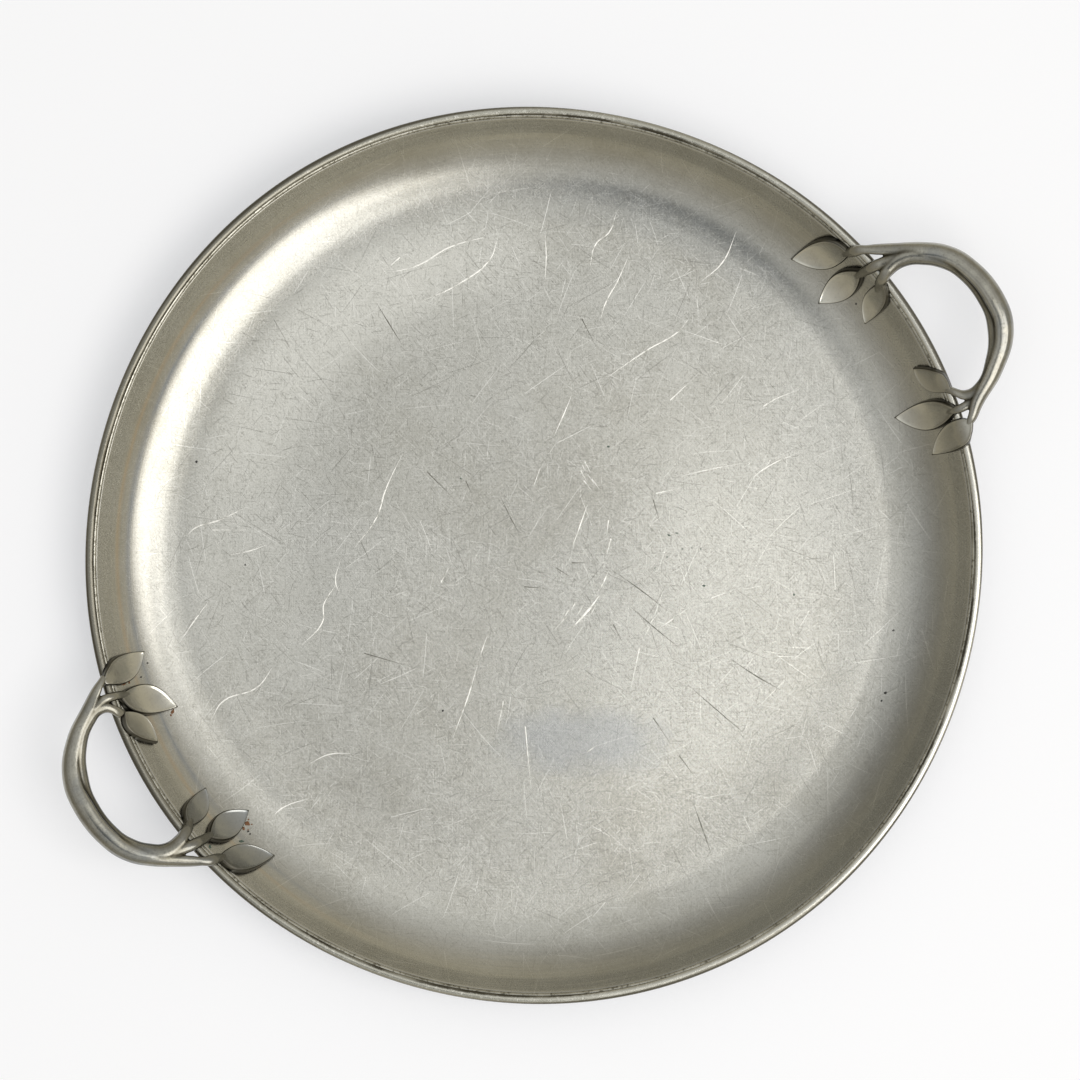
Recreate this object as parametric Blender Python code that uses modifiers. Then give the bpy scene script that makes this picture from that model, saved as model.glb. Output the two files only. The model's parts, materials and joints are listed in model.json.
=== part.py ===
"""Round pewter tray: a shallow dish with a wired rim and two cast branch handles."""
import bmesh
import bpy
import math
import numpy as np
from mathutils import Vector

# Dish: sheet pewter, metres
RIM_RADIUS = 0.165
FLOOR_RADIUS = 0.130
SHEET = 0.0016
BASE_TURN_RADIUS = 0.045
BASE_TURN_ANGLE = math.radians(12)
COVE_RADIUS = 0.033
WALL_ANGLE = math.radians(47)
WALL_LEAST = 0.003
EDGE_ROUND = 0.0004
TURN_STEPS = 3
COVE_STEPS = 6
ROUND_STEPS = 84
SHARP_ANGLE = math.radians(50)
WELD_DISTANCE = 0.00001

# Clearance that each soldered joint leaves between its solids
JOINT_GAP = 0.0003

# Rim wire and the fillet of solder under it
WIRE_RADIUS = 0.0016
WIRE_SIDES = 8
FILLET_RADIUS = 0.0004
FILLET_SIDES = 6

# Handles: how far each loop stands out from the rim, and the spray of leaves inside it
RIGHT_REACH = 0.0326
LEFT_REACH = 0.0279
SPRAY_DEPTH = 0.030
SPRAY_HALF_WIDTH = 0.040
TWIG_RADIUS = 0.0029
TWIG_FLATNESS = 0.80
LOOP_RISE = math.radians(4)
ROLL_START = 0.0011
ROLL_RADIUS = 0.005
TWIG_STEPS = 3
TWIG_BEVEL = 3

# Leaves: a plate with a raised lip round a hollow face
LEAF_HALF_WIDTH = 0.0052
LEAF_THICKNESS = 0.0023
LEAF_LIP = 0.0003
LEAF_EDGE = 0.0007
LEAF_FULL_BASE = 0.25
LEAF_SIDES = 16
LIP_INSET = 0.10
FACE_INSETS = [0.40]
BACK_INSETS = [0.30, 0.30]

# Solder between each leaf and the wall
SOLDER_THICKNESS = 0.0005
SOLDER_SIDES = 10
SOLDER_INSETS = [0.34, 0.33]

# Twig centrelines, leaf to leaf: out from the rim in reaches, or in by spray depths where
# negative; sideways in half widths; then thickness in twig radii. The left casting's lower
# end runs further in over the rim than the right one's
OUTER_LOOP = [(-0.39, 0.98, 0.42), (-0.30, 0.955, 0.58), (-0.13, 0.90, 0.62), (0.155, 0.78, 0.80),
              (0.43, 0.645, 1.04), (0.635, 0.51, 1.12), (0.77, 0.33, 1.20), (0.862, -0.07, 1.28)]
OUTER_ENDS = {"right": [(0.785, -0.36, 1.20), (0.46, -0.64, 1.02), (0.10, -0.82, 0.80),
                        (-0.03, -0.91, 0.60), (-0.13, -0.95, 0.40)],
              "left": [(0.80, -0.36, 1.16), (0.52, -0.64, 1.00), (0.14, -0.83, 0.84),
                       (-0.08, -0.94, 0.62), (-0.25, -1.00, 0.42)]}
INNER_LOOP = [(-0.26, 0.515, 0.42), (-0.15, 0.59, 0.66), (-0.02, 0.64, 0.84), (0.195, 0.655, 0.98),
              (0.415, 0.575, 1.02), (0.575, 0.465, 1.02), (0.695, 0.30, 0.97), (0.762, -0.07, 0.92)]
INNER_ENDS = {"right": [(0.71, -0.28, 0.95), (0.485, -0.565, 0.95), (0.20, -0.715, 0.80),
                        (0.03, -0.70, 0.62), (-0.08, -0.625, 0.54), (-0.16, -0.56, 0.40)],
              "left": [(0.71, -0.28, 0.96), (0.50, -0.57, 0.97), (0.20, -0.735, 0.84),
                       (0.03, -0.765, 0.70), (-0.11, -0.72, 0.58), (-0.20, -0.62, 0.42)]}
UPPER_STEM = [(-0.39, 0.735, 0.44), (-0.29, 0.74, 0.62), (-0.10, 0.725, 0.78), (0.16, 0.69, 0.90)]
LOWER_STEM = {"right": [(-0.27, -0.755, 0.40), (-0.18, -0.775, 0.54), (0.03, -0.785, 0.62),
                        (0.28, -0.72, 0.80)],
              "left": [(-0.38, -0.755, 0.40), (-0.28, -0.785, 0.54), (-0.10, -0.82, 0.62),
                       (0.10, -0.80, 0.80)]}

# Leaves in the same fractions: base, tip, then half width and sideways bow in leaf half widths
LEAVES = {"right": [(-0.32, 0.94, -0.95, 1.18, 1.00, -0.12), (-0.31, 0.75, -0.93, 0.70, 0.96, 0.0),
                    (-0.16, 0.57, -0.57, 0.32, 0.77, 0.0), (-0.12, -0.60, -0.34, -0.25, 0.68, 0.05),
                    (-0.16, -0.78, -0.82, -0.56, 1.02, 0.15), (-0.04, -0.93, -0.66, -1.03, 0.96, 0.0)],
          "left": [(-0.33, 0.94, -0.90, 1.20, 0.90, -0.10), (-0.34, 0.75, -0.90, 0.72, 0.96, 0.0),
                   (-0.21, 0.57, -0.59, 0.34, 0.77, 0.0), (-0.22, -0.64, -0.37, -0.24, 0.68, 0.0),
                   (-0.27, -0.79, -0.78, -0.43, 1.02, 0.10), (-0.20, -0.94, -0.77, -1.03, 0.94, 0.0)]}

# Solder under each leaf, clear of the sheet's edge: centre, then spread, in leaf halves
SOLDER_SPOTS = [(0.15, 0.0, 0.65, 0.62), (0.10, 0.0, 0.65, 0.65), (0.20, -0.10, 0.58, 0.58),
                (0.30, 0.40, 0.48, 0.36), (0.15, 0.0, 0.60, 0.62), (0.45, -0.20, 0.36, 0.48)]

# Sizes that follow from the ones above
LEAF_SEAT = JOINT_GAP + SOLDER_THICKNESS + JOINT_GAP
LEAF_MID = LEAF_SEAT + LEAF_THICKNESS / 2
WIRE_RING = RIM_RADIUS - WIRE_RADIUS
EDGE_RADIUS = WIRE_RING - (JOINT_GAP + WIRE_RADIUS) * math.cos(WALL_ANGLE) - SHEET / 2 * math.sin(WALL_ANGLE)
ROLL_IN = EDGE_RADIUS + ROLL_START
ROLL_OUT = ROLL_IN + ROLL_RADIUS * (math.sin(WALL_ANGLE) - math.sin(LOOP_RISE))

# The base turn and the cove tighten together where the wall would lose its least straight width
TURN_RUN = math.sin(BASE_TURN_ANGLE)
COVE_RUN = math.sin(WALL_ANGLE) - math.sin(BASE_TURN_ANGLE)
TURNS_ROOM = EDGE_RADIUS - WALL_LEAST * math.cos(WALL_ANGLE) - FLOOR_RADIUS
TURNS_FIT = min(1.0, TURNS_ROOM / (BASE_TURN_RADIUS * TURN_RUN + COVE_RADIUS * COVE_RUN))
BASE_TURN_BEND = BASE_TURN_RADIUS * TURNS_FIT
COVE_BEND = COVE_RADIUS * TURNS_FIT
BASE_TURN_END = FLOOR_RADIUS + BASE_TURN_BEND * TURN_RUN
COVE_END = BASE_TURN_END + COVE_BEND * COVE_RUN


def clear_scene():
    for item in list(bpy.data.objects):
        bpy.data.objects.remove(item)


def new_collection(name):
    made = bpy.data.collections.new(name)
    bpy.context.scene.collection.children.link(made)
    return made


def pewter(name, colour, roughness):
    material = bpy.data.materials.new(name)
    material.use_nodes = True
    shader = material.node_tree.nodes["Principled BSDF"]
    shader.inputs["Base Color"].default_value = (*colour, 1.0)
    shader.inputs["Metallic"].default_value = 1.0
    shader.inputs["Roughness"].default_value = roughness
    return material


def add_object(name, mesh, home, material=None):
    item = bpy.data.objects.new(name, mesh)
    home.objects.link(item)
    if material:
        mesh.materials.append(material)
    return item


def mesh_from(bm, name):
    if bm.calc_volume(signed=True) < 0:
        bmesh.ops.reverse_faces(bm, faces=bm.faces)
    mesh = bpy.data.meshes.new(name)
    bm.to_mesh(mesh)
    bm.free()
    mesh.shade_smooth()
    mesh.set_sharp_from_angle(angle=SHARP_ANGLE)
    return mesh


def arc_rise(radius, low_slope, high_slope):
    return radius * (math.cos(low_slope) - math.cos(high_slope))


def inner_face(radius):
    """Height and slope of the dish's inner face at a radius from the axis."""
    if radius <= FLOOR_RADIUS:
        return SHEET, 0.0
    if radius <= BASE_TURN_END:
        slope = math.asin((radius - FLOOR_RADIUS) / BASE_TURN_BEND)
        return SHEET + arc_rise(BASE_TURN_BEND, 0.0, slope), slope
    height = SHEET + arc_rise(BASE_TURN_BEND, 0.0, BASE_TURN_ANGLE)
    if radius <= COVE_END:
        slope = math.asin(TURN_RUN + (radius - BASE_TURN_END) / COVE_BEND)
        return height + arc_rise(COVE_BEND, BASE_TURN_ANGLE, slope), slope
    height += arc_rise(COVE_BEND, BASE_TURN_ANGLE, WALL_ANGLE)
    return height + (radius - COVE_END) * math.tan(WALL_ANGLE), WALL_ANGLE


def seat(radius):
    """What a casting lies on: the wall, a roll over the rim wire, then a gentle rise outwards."""
    if radius <= ROLL_IN:
        return inner_face(radius)
    height = inner_face(ROLL_IN)[0]
    if radius <= ROLL_OUT:
        slope = math.asin(math.sin(WALL_ANGLE) - (radius - ROLL_IN) / ROLL_RADIUS)
        return height + arc_rise(ROLL_RADIUS, slope, WALL_ANGLE), slope
    height += arc_rise(ROLL_RADIUS, LOOP_RISE, WALL_ANGLE)
    return height + (radius - ROLL_OUT) * math.tan(LOOP_RISE), LOOP_RISE


def lay(x, y, lift):
    """Point at a lift square off the seat, true in plan at the middle of a leaf's thickness."""
    radius = math.hypot(x, y)
    foot = radius + LEAF_MID * math.sin(seat(radius)[1])
    height, slope = seat(foot)
    reach = foot - lift * math.sin(slope)
    return Vector((x * reach / radius, y * reach / radius, height + lift * math.cos(slope)))


def plan(out, side, reach):
    return RIM_RADIUS + out * (reach if out > 0 else SPRAY_DEPTH), side * SPRAY_HALF_WIDTH


def spun(name, points, closed, home, material):
    bm = bmesh.new()
    verts = [bm.verts.new((radius, 0.0, height)) for radius, height in points]
    for first, second in zip(verts, verts[1:]):
        bm.edges.new((first, second))
    if closed:
        bm.edges.new((verts[-1], verts[0]))
    mesh = bpy.data.meshes.new(name)
    bm.to_mesh(mesh)
    bm.free()
    item = add_object(name, mesh, home, material)
    screw = item.modifiers.new("Spin", "SCREW")
    screw.angle = math.radians(360)
    screw.steps = ROUND_STEPS
    screw.render_steps = ROUND_STEPS
    screw.use_merge_vertices = True
    screw.merge_threshold = WELD_DISTANCE
    screw.use_smooth_shade = True
    return item


def dish_section():
    """Half section of the sheet: inner face out to the edge, then back along the underside."""
    turn_slopes = np.linspace(0.0, BASE_TURN_ANGLE, TURN_STEPS + 1)
    cove_slopes = np.linspace(BASE_TURN_ANGLE, WALL_ANGLE, COVE_STEPS + 1)[1:]
    radii = [FLOOR_RADIUS + BASE_TURN_BEND * math.sin(slope) for slope in turn_slopes]
    radii += [BASE_TURN_END + COVE_BEND * (math.sin(slope) - TURN_RUN) for slope in cove_slopes]
    inner = []
    under = []
    for radius in radii:
        height, slope = inner_face(radius)
        inner.append((radius, height))
        under.append((radius + SHEET * math.sin(slope), height - SHEET * math.cos(slope)))
    along = Vector((math.cos(WALL_ANGLE), math.sin(WALL_ANGLE)))
    across = Vector((math.sin(WALL_ANGLE), -math.cos(WALL_ANGLE)))
    corner = Vector((EDGE_RADIUS, inner_face(EDGE_RADIUS)[0]))
    edge = [corner - along * EDGE_ROUND,
            corner + across * EDGE_ROUND,
            corner + across * (SHEET - EDGE_ROUND),
            corner + across * SHEET - along * EDGE_ROUND]
    return [(0.0, SHEET)] + inner + [tuple(point) for point in edge] + under[::-1] + [(0.0, 0.0)]


def ring_section(centre, radius, sides):
    angles = [2 * math.pi * step / sides for step in range(sides)]
    return [(centre[0] + radius * math.cos(angle), centre[1] - radius * math.sin(angle))
            for angle in angles]


def wire_centre():
    """The wire butts on the sheet's edge, in line with the middle of its thickness."""
    edge_middle = inner_face(EDGE_RADIUS)[0] - SHEET / 2 * math.cos(WALL_ANGLE)
    return WIRE_RING, edge_middle + (JOINT_GAP + WIRE_RADIUS) * math.sin(WALL_ANGLE)


def fillet_centre():
    """The fillet lies in the hollow between the wire and the sheet's underside."""
    drop = SHEET / 2 + JOINT_GAP + FILLET_RADIUS
    span = WIRE_RADIUS + JOINT_GAP + FILLET_RADIUS
    back = math.sqrt(span ** 2 - drop ** 2)
    radius, height = wire_centre()
    return (radius - back * math.cos(WALL_ANGLE) + drop * math.sin(WALL_ANGLE),
            height - back * math.sin(WALL_ANGLE) - drop * math.cos(WALL_ANGLE))


def twig(name, bends, reach, home):
    """Twig of changing thickness: a bevelled curve drawn on the flat, then laid over the rim."""
    line = bpy.data.curves.new(name, "CURVE")
    line.dimensions = "3D"
    line.bevel_depth = 1.0
    line.bevel_resolution = TWIG_BEVEL
    line.resolution_u = TWIG_STEPS
    line.use_fill_caps = True
    spline = line.splines.new("BEZIER")
    spline.bezier_points.add(len(bends) - 1)
    for point, (out, side, thickness) in zip(spline.bezier_points, bends):
        radius = thickness * TWIG_RADIUS
        point.co = (*plan(out, side, reach), radius)
        point.radius = radius
        point.handle_left_type = "AUTO"
        point.handle_right_type = "AUTO"
    curve = add_object(name + "_line", line, home)
    evaluated = curve.evaluated_get(bpy.context.evaluated_depsgraph_get())
    bm = bmesh.new()
    bm.from_mesh(bpy.data.meshes.new_from_object(evaluated))
    bpy.data.objects.remove(curve)
    bmesh.ops.remove_doubles(bm, verts=bm.verts, dist=WELD_DISTANCE)
    for vert in bm.verts:
        vert.co = lay(vert.co.x, vert.co.y, LEAF_SEAT + vert.co.z * TWIG_FLATNESS)
    return add_object(name, mesh_from(bm, name), home)


def ringed_disc(sides, top_insets, bottom_insets):
    """Unit disc with rings inset into both faces and each face closed at its centre."""
    bm = bmesh.new()
    bmesh.ops.create_cone(bm, cap_ends=True, segments=sides, radius1=1.0, radius2=1.0, depth=1.0)
    caps = [max(bm.faces, key=lambda face: face.normal.z), min(bm.faces, key=lambda face: face.normal.z)]
    for cap, insets in zip(caps, (top_insets, bottom_insets)):
        for width in insets:
            bmesh.ops.inset_region(bm, faces=[cap], thickness=width, use_even_offset=True)
    bmesh.ops.poke(bm, faces=caps)
    return bm


def leaf_place(leaf, along, across):
    """Plan point of a leaf from a unit disc: along runs from base to tip, across sideways."""
    base = Vector(plan(leaf[0], leaf[1], RIGHT_REACH))
    tip = Vector(plan(leaf[2], leaf[3], RIGHT_REACH))
    half_width, bow = leaf[4] * LEAF_HALF_WIDTH, leaf[5] * LEAF_HALF_WIDTH
    axis = (tip - base) / 2
    side = axis.orthogonal().normalized()
    point_in = math.sqrt(max(0.0, 1 - along ** 2)) * (1 - LEAF_FULL_BASE * along)
    return (base + tip) / 2 + axis * along + side * (across * half_width * point_in + bow * (1 - along ** 2))


def leaf_plate(name, leaf, home):
    ring_lip = 1 - LIP_INSET
    ring_face = ring_lip - LIP_INSET
    bm = ringed_disc(LEAF_SIDES, [LIP_INSET, LIP_INSET] + FACE_INSETS, [LIP_INSET] + BACK_INSETS)
    for vert in bm.verts:
        ring = vert.co.xy.length
        if vert.co.z > 0:
            lift = np.interp(ring, [ring_face, ring_lip, 1.0],
                             [LEAF_THICKNESS - LEAF_LIP, LEAF_THICKNESS, LEAF_THICKNESS - LEAF_EDGE])
        else:
            lift = np.interp(ring, [ring_lip, 1.0], [0.0, LEAF_EDGE])
        vert.co = lay(*leaf_place(leaf, vert.co.x, vert.co.y), LEAF_SEAT + float(lift))
    return add_object(name, mesh_from(bm, name), home)


def solder_pad(name, leaf, spot, home, material):
    along, across, half_length, half_width = spot
    bm = ringed_disc(SOLDER_SIDES, SOLDER_INSETS, SOLDER_INSETS)
    for vert in bm.verts:
        lift = JOINT_GAP + (SOLDER_THICKNESS if vert.co.z > 0 else 0.0)
        place = leaf_place(leaf, along + vert.co.x * half_length, across + vert.co.y * half_width)
        vert.co = lay(*place, lift)
    return add_object(name, mesh_from(bm, name), home, material)


def turn_half_round(item):
    for vert in item.data.vertices:
        vert.co.xy = -vert.co.xy


def handle(side, reach, turned, home, patterns, material):
    """One casting: two main twigs side by side, a middle stem at each end, and six leaves."""
    name = "handle_" + side
    lines = {"outer_twig": OUTER_LOOP + OUTER_ENDS[side], "inner_twig": INNER_LOOP + INNER_ENDS[side],
             "upper_stem": UPPER_STEM, "lower_stem": LOWER_STEM[side]}
    pieces = [twig(name + "_" + label, bends, reach, patterns) for label, bends in lines.items()]
    pieces += [leaf_plate("%s_leaf_%d" % (name, number), leaf, patterns)
               for number, leaf in enumerate(LEAVES[side], 1)]
    if turned:
        for piece in pieces:
            turn_half_round(piece)
    body = add_object(name, pieces[0].data.copy(), home, material)
    bpy.data.objects.remove(pieces[0])
    for piece in pieces[1:]:
        piece.hide_render = True
        piece.display_type = "WIRE"
        join = body.modifiers.new(piece.name, "BOOLEAN")
        join.operation = "UNION"
        join.solver = "EXACT"
        join.object = piece
    return body


def build():
    clear_scene()
    home = new_collection("pewter_tray")
    patterns = new_collection("casting_patterns")
    sheet_pewter = pewter("sheet_pewter", (0.46, 0.45, 0.41), 0.42)
    wire_pewter = pewter("wire_pewter", (0.50, 0.48, 0.43), 0.32)
    cast_pewter = pewter("cast_pewter", (0.36, 0.34, 0.29), 0.38)
    solder = pewter("solder", (0.42, 0.41, 0.38), 0.50)
    spun("dish", dish_section(), False, home, sheet_pewter)
    spun("rim_wire", ring_section(wire_centre(), WIRE_RADIUS, WIRE_SIDES), True, home, wire_pewter)
    spun("rim_solder", ring_section(fillet_centre(), FILLET_RADIUS, FILLET_SIDES), True, home, solder)
    for side, reach, turned in (("right", RIGHT_REACH, False), ("left", LEFT_REACH, True)):
        handle(side, reach, turned, home, patterns, cast_pewter)
        for number, (leaf, spot) in enumerate(zip(LEAVES[side], SOLDER_SPOTS), 1):
            pad = solder_pad("solder_%s_%d" % (side, number), leaf, spot, home, solder)
            if turned:
                turn_half_round(pad)


build()
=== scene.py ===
"""Pewter tray: the visible pieces, their finishes, and the studio they stand in."""
import json
import math

import bmesh
import bpy
import numpy as np
from mathutils import Matrix, Vector, noise


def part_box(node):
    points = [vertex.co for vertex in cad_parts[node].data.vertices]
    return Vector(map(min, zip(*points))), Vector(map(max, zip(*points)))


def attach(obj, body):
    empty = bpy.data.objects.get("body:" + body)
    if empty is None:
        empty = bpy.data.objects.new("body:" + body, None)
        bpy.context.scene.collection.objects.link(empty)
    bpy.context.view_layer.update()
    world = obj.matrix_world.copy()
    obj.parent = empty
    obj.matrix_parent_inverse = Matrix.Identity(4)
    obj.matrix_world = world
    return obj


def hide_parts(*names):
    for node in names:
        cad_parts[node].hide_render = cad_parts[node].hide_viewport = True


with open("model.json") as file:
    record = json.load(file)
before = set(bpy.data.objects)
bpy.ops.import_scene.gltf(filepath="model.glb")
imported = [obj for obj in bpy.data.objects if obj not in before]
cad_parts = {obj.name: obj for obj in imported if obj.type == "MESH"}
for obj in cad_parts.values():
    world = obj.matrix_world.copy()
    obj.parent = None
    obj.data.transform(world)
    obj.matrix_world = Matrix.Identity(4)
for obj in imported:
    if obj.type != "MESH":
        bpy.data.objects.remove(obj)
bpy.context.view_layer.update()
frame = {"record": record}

# Dish: one round of sheet pewter, pressed to a flat floor, a soft turn, a cove and a sloping wall.
# Use has left it a little out of round and uneven, tarnished and covered with fine scratches. Its
# colour also carries painted light: stretches of painted highlight and painted shade round it, a
# painted cool reflection on the floor, and lines of painted reflection on the wall's left side.
RIM_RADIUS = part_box("rim_wire")[1].x
SHEET = frame["record"]["mounts"][1]["pos_m"][2]
FLOOR_RADIUS = 0.130
BASE_TURN_RADIUS = 0.045
BASE_TURN_ANGLE = math.radians(12)
COVE_RADIUS = 0.033
WALL_ANGLE = math.radians(47)
WIRE_RADIUS = 0.0016
JOINT_GAP = 0.0003
ROUND_STEPS = 360
FLOOR_RINGS = 40
TURN_RINGS = 14
COVE_RINGS = 20
WALL_RINGS = 5
OUT_OF_ROUND = 0.00065
RIM_FADE = 0.015
DENT_DEPTH = 0.00022
DENT_SPAN = 0.055
DENT_END = 0.105
DENT_LEAST = -0.0001
FLARE_RISE = 0.00045
FLARE_SHARES = [(0.110, 0.0), (0.116, 0.10), (0.122, 0.40), (0.128, 0.80), (0.134, 1.0), (0.141, 0.75),
                (0.148, 0.25), (0.155, 0.0)]
NEAR_AXIS = 0.001
DOUBLES = 0.000002

TURN_RUN = math.sin(BASE_TURN_ANGLE)
COVE_RUN = math.sin(WALL_ANGLE) - TURN_RUN
BASE_TURN_END = FLOOR_RADIUS + BASE_TURN_RADIUS * TURN_RUN
COVE_END = BASE_TURN_END + COVE_RADIUS * COVE_RUN
WIRE_RING = RIM_RADIUS - WIRE_RADIUS
EDGE_RADIUS = (WIRE_RING - (JOINT_GAP + WIRE_RADIUS) * math.cos(WALL_ANGLE)
               - SHEET / 2 * math.sin(WALL_ANGLE))


def between(table, place):
    """Value at a place in a table of places and values, straight between its rows."""
    return float(np.interp(place, *zip(*table)))


def arc_rise(radius, low_slope, high_slope):
    """Height gained along an arc of a section, from one slope to another."""
    return radius * (math.cos(low_slope) - math.cos(high_slope))


def inner_face(radius):
    """Height and slope of the dish's inner face at a radius from the axis."""
    if radius <= FLOOR_RADIUS:
        return SHEET, 0.0
    if radius <= BASE_TURN_END:
        slope = math.asin((radius - FLOOR_RADIUS) / BASE_TURN_RADIUS)
        return SHEET + arc_rise(BASE_TURN_RADIUS, 0.0, slope), slope
    height = SHEET + arc_rise(BASE_TURN_RADIUS, 0.0, BASE_TURN_ANGLE)
    if radius <= COVE_END:
        slope = math.asin(TURN_RUN + (radius - BASE_TURN_END) / COVE_RADIUS)
        return height + arc_rise(COVE_RADIUS, BASE_TURN_ANGLE, slope), slope
    height += arc_rise(COVE_RADIUS, BASE_TURN_ANGLE, WALL_ANGLE)
    return height + (radius - COVE_END) * math.tan(WALL_ANGLE), WALL_ANGLE


def worn(place):
    """Where use has pushed a point: the rim out of round, the floor uneven and flared at its edge."""
    radius = place.xy.length
    if radius < NEAR_AXIS:
        return place.copy()
    rim_share = min(1.0, max(0.0, (radius - BASE_TURN_END) / (RIM_RADIUS - BASE_TURN_END)))
    past_rim = min(1.0, max(0.0, (radius - RIM_RADIUS) / RIM_FADE))
    push = OUT_OF_ROUND * math.cos(4 * math.atan2(place.y, place.x)) * rim_share * (1 - past_rim)
    floor_share = 1 - min(1.0, max(0.0, (radius - DENT_END) / (FLOOR_RADIUS - DENT_END)))
    dent = DENT_DEPTH * floor_share * noise.noise(Vector((place.x, place.y, 0.0)) / DENT_SPAN)
    flare = FLARE_RISE * between(FLARE_SHARES, radius)
    return Vector((place.x * (1 + push / radius), place.y * (1 + push / radius),
                   place.z + max(dent, DENT_LEAST) + flare))


def in_scene(name, data):
    """A new object of the scene, made of the given data."""
    item = bpy.data.objects.new(name, data)
    bpy.context.scene.collection.objects.link(item)
    return item


def tray_piece(name, bm, finish, nodes):
    """Makes a finished bmesh a piece of the tray, in place of its CAD nodes."""
    bmesh.ops.remove_doubles(bm, verts=bm.verts, dist=DOUBLES)
    bmesh.ops.recalc_face_normals(bm, faces=bm.faces)
    mesh = bpy.data.meshes.new(name)
    bm.to_mesh(mesh)
    bm.free()
    mesh.shade_smooth()
    mesh.materials.append(finish)
    piece = in_scene(name, mesh)
    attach(piece, "root")
    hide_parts(*nodes)
    return piece


def spin_round(bm, geometry):
    """Turns an outline once round the dish's axis and closes it on itself."""
    bmesh.ops.spin(bm, geom=geometry, cent=(0, 0, 0), axis=(0, 0, 1), angle=math.radians(360),
                   steps=ROUND_STEPS, use_merge=True, use_duplicate=False)


class Value:
    """One output of a node: arithmetic on it adds Math nodes."""

    def __init__(self, finish, socket):
        self.finish = finish
        self.socket = socket

    def maths(self, operation, *values):
        return self.finish.node("ShaderNodeMath", {"operation": operation}, dict(enumerate(values)))

    def __add__(self, other):
        return self.maths("ADD", self, other)

    def __radd__(self, other):
        return self.maths("ADD", other, self)

    def __sub__(self, other):
        return self.maths("SUBTRACT", self, other)

    def __rsub__(self, other):
        return self.maths("SUBTRACT", other, self)

    def __mul__(self, other):
        return self.maths("MULTIPLY", self, other)

    def __rmul__(self, other):
        return self.maths("MULTIPLY", other, self)

    def __truediv__(self, other):
        return self.maths("DIVIDE", self, other)

    def __rtruediv__(self, other):
        return self.maths("DIVIDE", other, self)

    def within(self, low, high):
        """0 at low and past it, 1 at high and past it, and straight between them, either way."""
        return self.finish.node("ShaderNodeMapRange", {}, {0: self, 1: low, 2: high, 3: 0.0, 4: 1.0})

    def near(self, middle, half_width):
        """1 at a middle value, falling to 0 at half a width to either side of it."""
        off = self - middle
        return (1.0 - off.maths("ABSOLUTE", off) / half_width).within(0.0, 1.0)


class Finish:
    """The nodes that vary a metal's finish, or the sky's light."""

    def __init__(self, tree, coordinates="Object"):
        self.tree = tree
        self.place = self.node("ShaderNodeTexCoord", {}, {}, coordinates)

    def node(self, kind, settings, inputs, output=0):
        """Adds a node and gives its output, or one value for each when a tuple of them is asked for."""
        made = self.tree.nodes.new(kind)
        for name, setting in settings.items():
            if name == "stops":
                stops = made.color_ramp.elements
                for number, (at, colour) in enumerate(setting):
                    stop = stops[number] if number < 2 else stops.new(at)
                    stop.position = at
                    stop.color = colour
            else:
                setattr(made, name, setting)
        for name, value in inputs.items():
            self.feed(made.inputs[name], value)
        if isinstance(output, tuple):
            return [Value(self, made.outputs[name]) for name in output]
        return Value(self, made.outputs[output])

    def feed(self, socket, value):
        if isinstance(value, Value):
            self.tree.links.new(value.socket, socket)
        else:
            socket.default_value = value

    def set(self, name, value):
        self.feed(self.tree.nodes["Principled BSDF"].inputs[name], value)

    def noise(self, scale, detail=2.0, place=None, roughness=0.5):
        return self.node("ShaderNodeTexNoise", {}, {"Vector": place or self.place, "Scale": scale,
                                                    "Detail": detail, "Roughness": roughness})

    def vector(self, operation, *values, scale=None):
        output = 1 if operation in ("LENGTH", "DOT_PRODUCT") else 0
        sockets = dict(enumerate(values))
        if scale is not None:
            sockets["Scale"] = scale
        return self.node("ShaderNodeVectorMath", {"operation": operation}, sockets, output)

    def brushed(self, turn, length, width):
        """Fine brushing along one line: noise drawn out in that direction."""
        drawn = self.node("ShaderNodeMapping", {"vector_type": "TEXTURE"},
                          {"Vector": self.place, "Rotation": (0.0, 0.0, math.radians(turn)),
                           "Scale": (length, width, 1.0)})
        return self.noise(1.0, 2.0, drawn)

    def mix(self, factor, low, high):
        return self.node("ShaderNodeMix", {"data_type": "RGBA"}, {0: factor, 6: low, 7: high}, 2)

    def split(self, vector):
        return self.node("ShaderNodeSeparateXYZ", {}, {0: vector}, ("X", "Y", "Z"))

    def stretch(self, azimuth, spread, radius, depth, core=0.3):
        """A stretch of a ring round the dish with soft edges: 1 in its middle, 0 past its edges."""
        flat = self.vector("MULTIPLY", self.place, (1.0, 1.0, 0.0))
        way = (math.cos(math.radians(azimuth)), math.sin(math.radians(azimuth)), 0.0)
        facing = self.vector("DOT_PRODUCT", self.vector("NORMALIZE", flat), way)
        off = (self.vector("LENGTH", flat) - radius) / depth
        return (facing.within(math.cos(math.radians(spread)), math.cos(math.radians(spread * core)))
                * (1.0 - off * off).within(0.0, 1.0))

    def hairlines(self, cell, seed, length, width, bow, shift=(0.731, 0.417)):
        """One fine scratch to each cell of a random net, each at its own angle: 1 on the scratch."""
        shifted = self.vector("ADD", self.place, (seed * shift[0], seed * shift[1], 0.0))
        flat = self.vector("MULTIPLY", shifted, (1 / cell, 1 / cell, 0.0))
        middle, chances = self.node("ShaderNodeTexVoronoi", {"voronoi_dimensions": "2D"},
                                    {"Vector": flat, "Scale": 1.0}, ("Position", "Color"))
        across_x, across_y, _ = self.split(self.vector("SUBTRACT", flat, middle))
        chance, turn, depth = self.split(chances)
        angle = turn * (2 * math.pi)
        run, rise = angle.maths("COSINE", angle), angle.maths("SINE", angle)
        along = (across_x * run + across_y * rise) / (length / cell)
        aside = across_y * run - across_x * rise + along * along * (chance - 0.5) * bow
        taper = (1.0 - along * along).within(0.0, 1.0)
        return aside.near(0.0, width / cell) * taper * depth


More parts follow.
